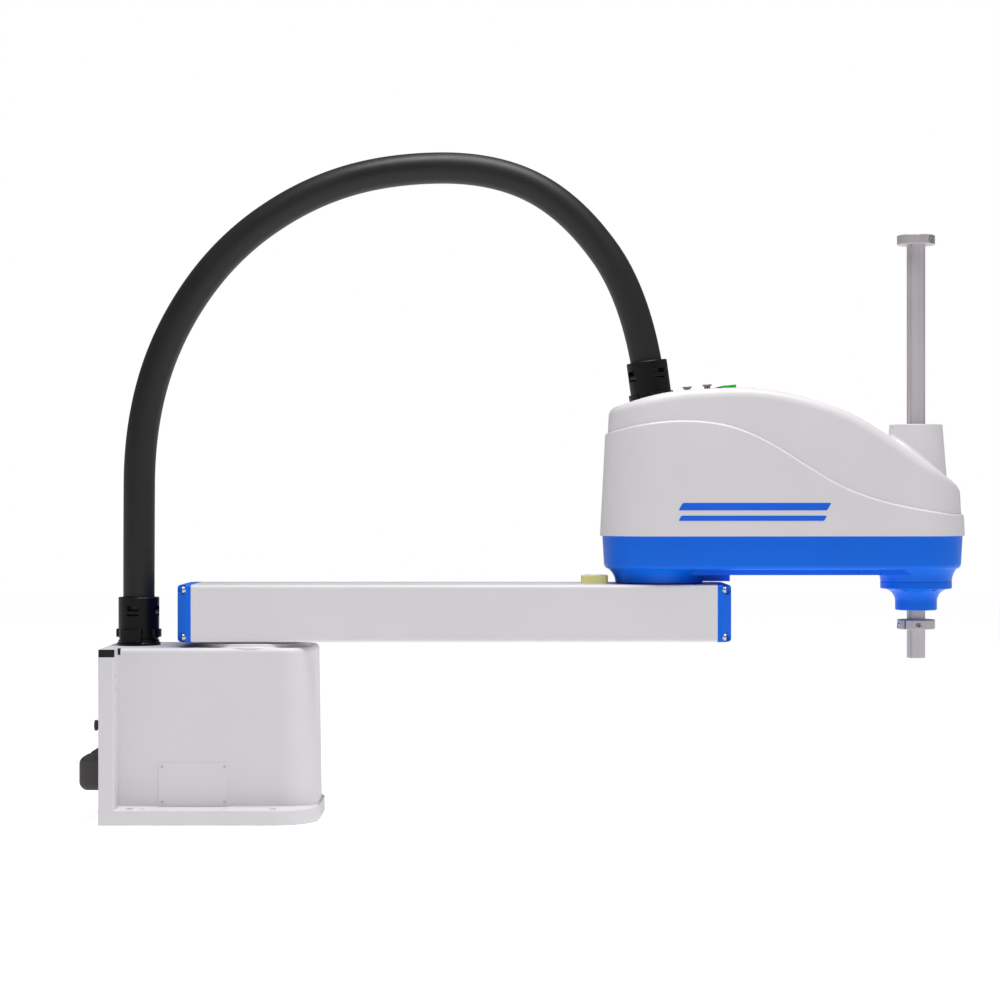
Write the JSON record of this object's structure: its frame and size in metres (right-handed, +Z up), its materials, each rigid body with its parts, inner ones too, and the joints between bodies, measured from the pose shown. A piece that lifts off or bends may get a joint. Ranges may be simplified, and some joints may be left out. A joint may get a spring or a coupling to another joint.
{
  "type": "scara robot arm",
  "caption": "SCARA robot arm: base, box-beam first arm, covered second arm, sliding and turning tool shaft with clamp collars, and a conduit arching from the base to the second arm.",
  "frame": {"origin": "on the first joint's axis, in the plane of the base's underside", "axes": "+Z up; +X along the stretched arm, from the first joint to the tool shaft; +Y to the left seen from the tool"},
  "size_m": [1.1959, 0.226, 0.9025],
  "materials": {
    "grey_paint": "satin",
    "blue_paint": "satin",
    "cover_grey": "satin",
    "black_plastic": "satin",
    "plate_foil": "satin",
    "steel": "satin",
    "panel_steel": "satin",
    "hood_grey": "satin",
    "fitting_grey": "satin",
    "motor_case": "satin",
    "machined_steel": "satin",
    "bearing_steel": "polished",
    "black_screws": "satin",
    "conduit_black": "satin",
    "bumper_yellow": "satin",
    "seal_red": "matte",
    "plate_aluminium": "satin",
    "belt_rubber": "matte",
    "rocker_green": "gloss",
    "shaft_steel": "satin",
    "collar_steel": "satin"
  },
  "bodies": {
    "base": {"base_casting": "grey_paint", "flange_corner_plugs": "black_plastic", "base_name_plate": "plate_foil", "name_plate_rivets": "steel", "rear_panel": "panel_steel", "rear_panel_screws": "steel", "power_connector_hood": "hood_grey", "signal_connector_hood": "hood_grey", "base_air_fittings": "hood_grey", "j1_motor": "motor_case", "j1_reducer_housing": "machined_steel", "j1_bearing": "bearing_steel", "j1_reducer_screws": "black_screws", "base_conduit_fitting": "conduit_black", "base_conduit_lock_ring": "conduit_black", "conduit_base_half": "conduit_black"},
    "arm1": {"arm1_beam": "grey_paint", "arm1_rear_cap": "blue_paint", "arm1_front_cap": "blue_paint", "end_cap_screws": "steel", "j1_output_flange": "machined_steel", "j2_output_flange": "machined_steel", "joint_flange_screws": "black_screws", "arm2_stop_bumper": "bumper_yellow", "bumper_screws": "steel"},
    "arm2": {"arm2_body": "blue_paint", "arm2_cover": "cover_grey", "arm2_stop_block": "blue_paint", "j2_dust_seal": "seal_red", "j2_reducer_housing": "machined_steel", "j2_bearing": "bearing_steel", "j2_reducer_screws": "black_screws", "j2_motor": "motor_case", "nose_flange": "blue_paint", "nose_flange_screws": "steel", "spline_nut_bearings": "bearing_steel", "ball_nut_bearing": "bearing_steel", "drive_plates": "plate_aluminium", "turning_motor": "motor_case", "lifting_motor": "motor_case", "turning_belt": "belt_rubber", "lifting_belt": "belt_rubber", "arm_conduit_fitting": "conduit_black", "arm_conduit_lock_ring": "conduit_black", "conduit_arm_half": "conduit_black", "cover_air_fittings": "fitting_grey", "rocker_bezel": "black_plastic", "cover_screws": "steel", "cover_posts": "steel"},
    "turning_nut": {"spline_nut": "bearing_steel", "spline_nut_pulley": "plate_aluminium"},
    "lifting_nut": {"ball_nut": "bearing_steel", "ball_nut_pulley": "plate_aluminium"},
    "turning_pulley": {"turning_motor_pulley": "plate_aluminium"},
    "lifting_pulley": {"lifting_motor_pulley": "plate_aluminium"},
    "rocker": {"brake_release_rocker": "rocker_green"},
    "shaft": {"tool_shaft": "shaft_steel", "upper_collar": "collar_steel", "lower_collar": "collar_steel", "collar_screws": "steel"}
  },
  "joints": [
    {"name": "arm1_swing", "type": "hinge", "parent": "base", "child": "arm1", "pos_m": [0, 0, 0.2369], "axis": [0, 0, 1], "range_deg": [-132, 132], "deforming": ["conduit_base_half"]},
    {"name": "arm2_swing", "type": "hinge", "parent": "arm1", "child": "arm2", "pos_m": [0.55, 0, 0.3167], "axis": [0, 0, 1], "range_deg": [-150, 150], "deforming": ["conduit_arm_half"]},
    {"name": "tool_turn", "type": "hinge", "parent": "arm2", "child": "turning_nut", "pos_m": [0.9, 0, 0.33], "axis": [0, 0, 1], "range_deg": [-360, 360]},
    {"name": "tool_lift", "type": "slide", "parent": "turning_nut", "child": "shaft", "axis": [0, 0, 1], "range_m": [-0.235, 0.005]},
    {"name": "ball_nut_turn", "type": "hinge", "parent": "arm2", "child": "lifting_nut", "pos_m": [0.9, 0, 0.41], "axis": [0, 0, 1], "range_deg": [-3400, 80]},
    {"name": "turning_pulley_turn", "type": "hinge", "parent": "arm2", "child": "turning_pulley", "pos_m": [0.725, 0, 0.355], "axis": [0, 0, 1], "range_deg": [-725, 725]},
    {"name": "lifting_pulley_turn", "type": "hinge", "parent": "arm2", "child": "lifting_pulley", "pos_m": [0.81, 0, 0.393], "axis": [0, 0, 1], "range_deg": [-6800, 160]},
    {"name": "brake_release", "type": "hinge", "parent": "arm2", "child": "rocker", "pos_m": [0.645, 0, 0.575], "axis": [0, 1, 0], "range_deg": [0, 6], "stiffness_Nm_per_rad": 0.05, "springref_deg": -5.73}
  ],
  "couplings": [
    {"joint": "ball_nut_turn", "follows": "tool_lift", "rad_per_m": 251.33},
    {"joint": "lifting_pulley_turn", "follows": "tool_lift", "rad_per_m": 502.65},
    {"joint": "turning_pulley_turn", "follows": "tool_turn", "ratio": 2}
  ]
}
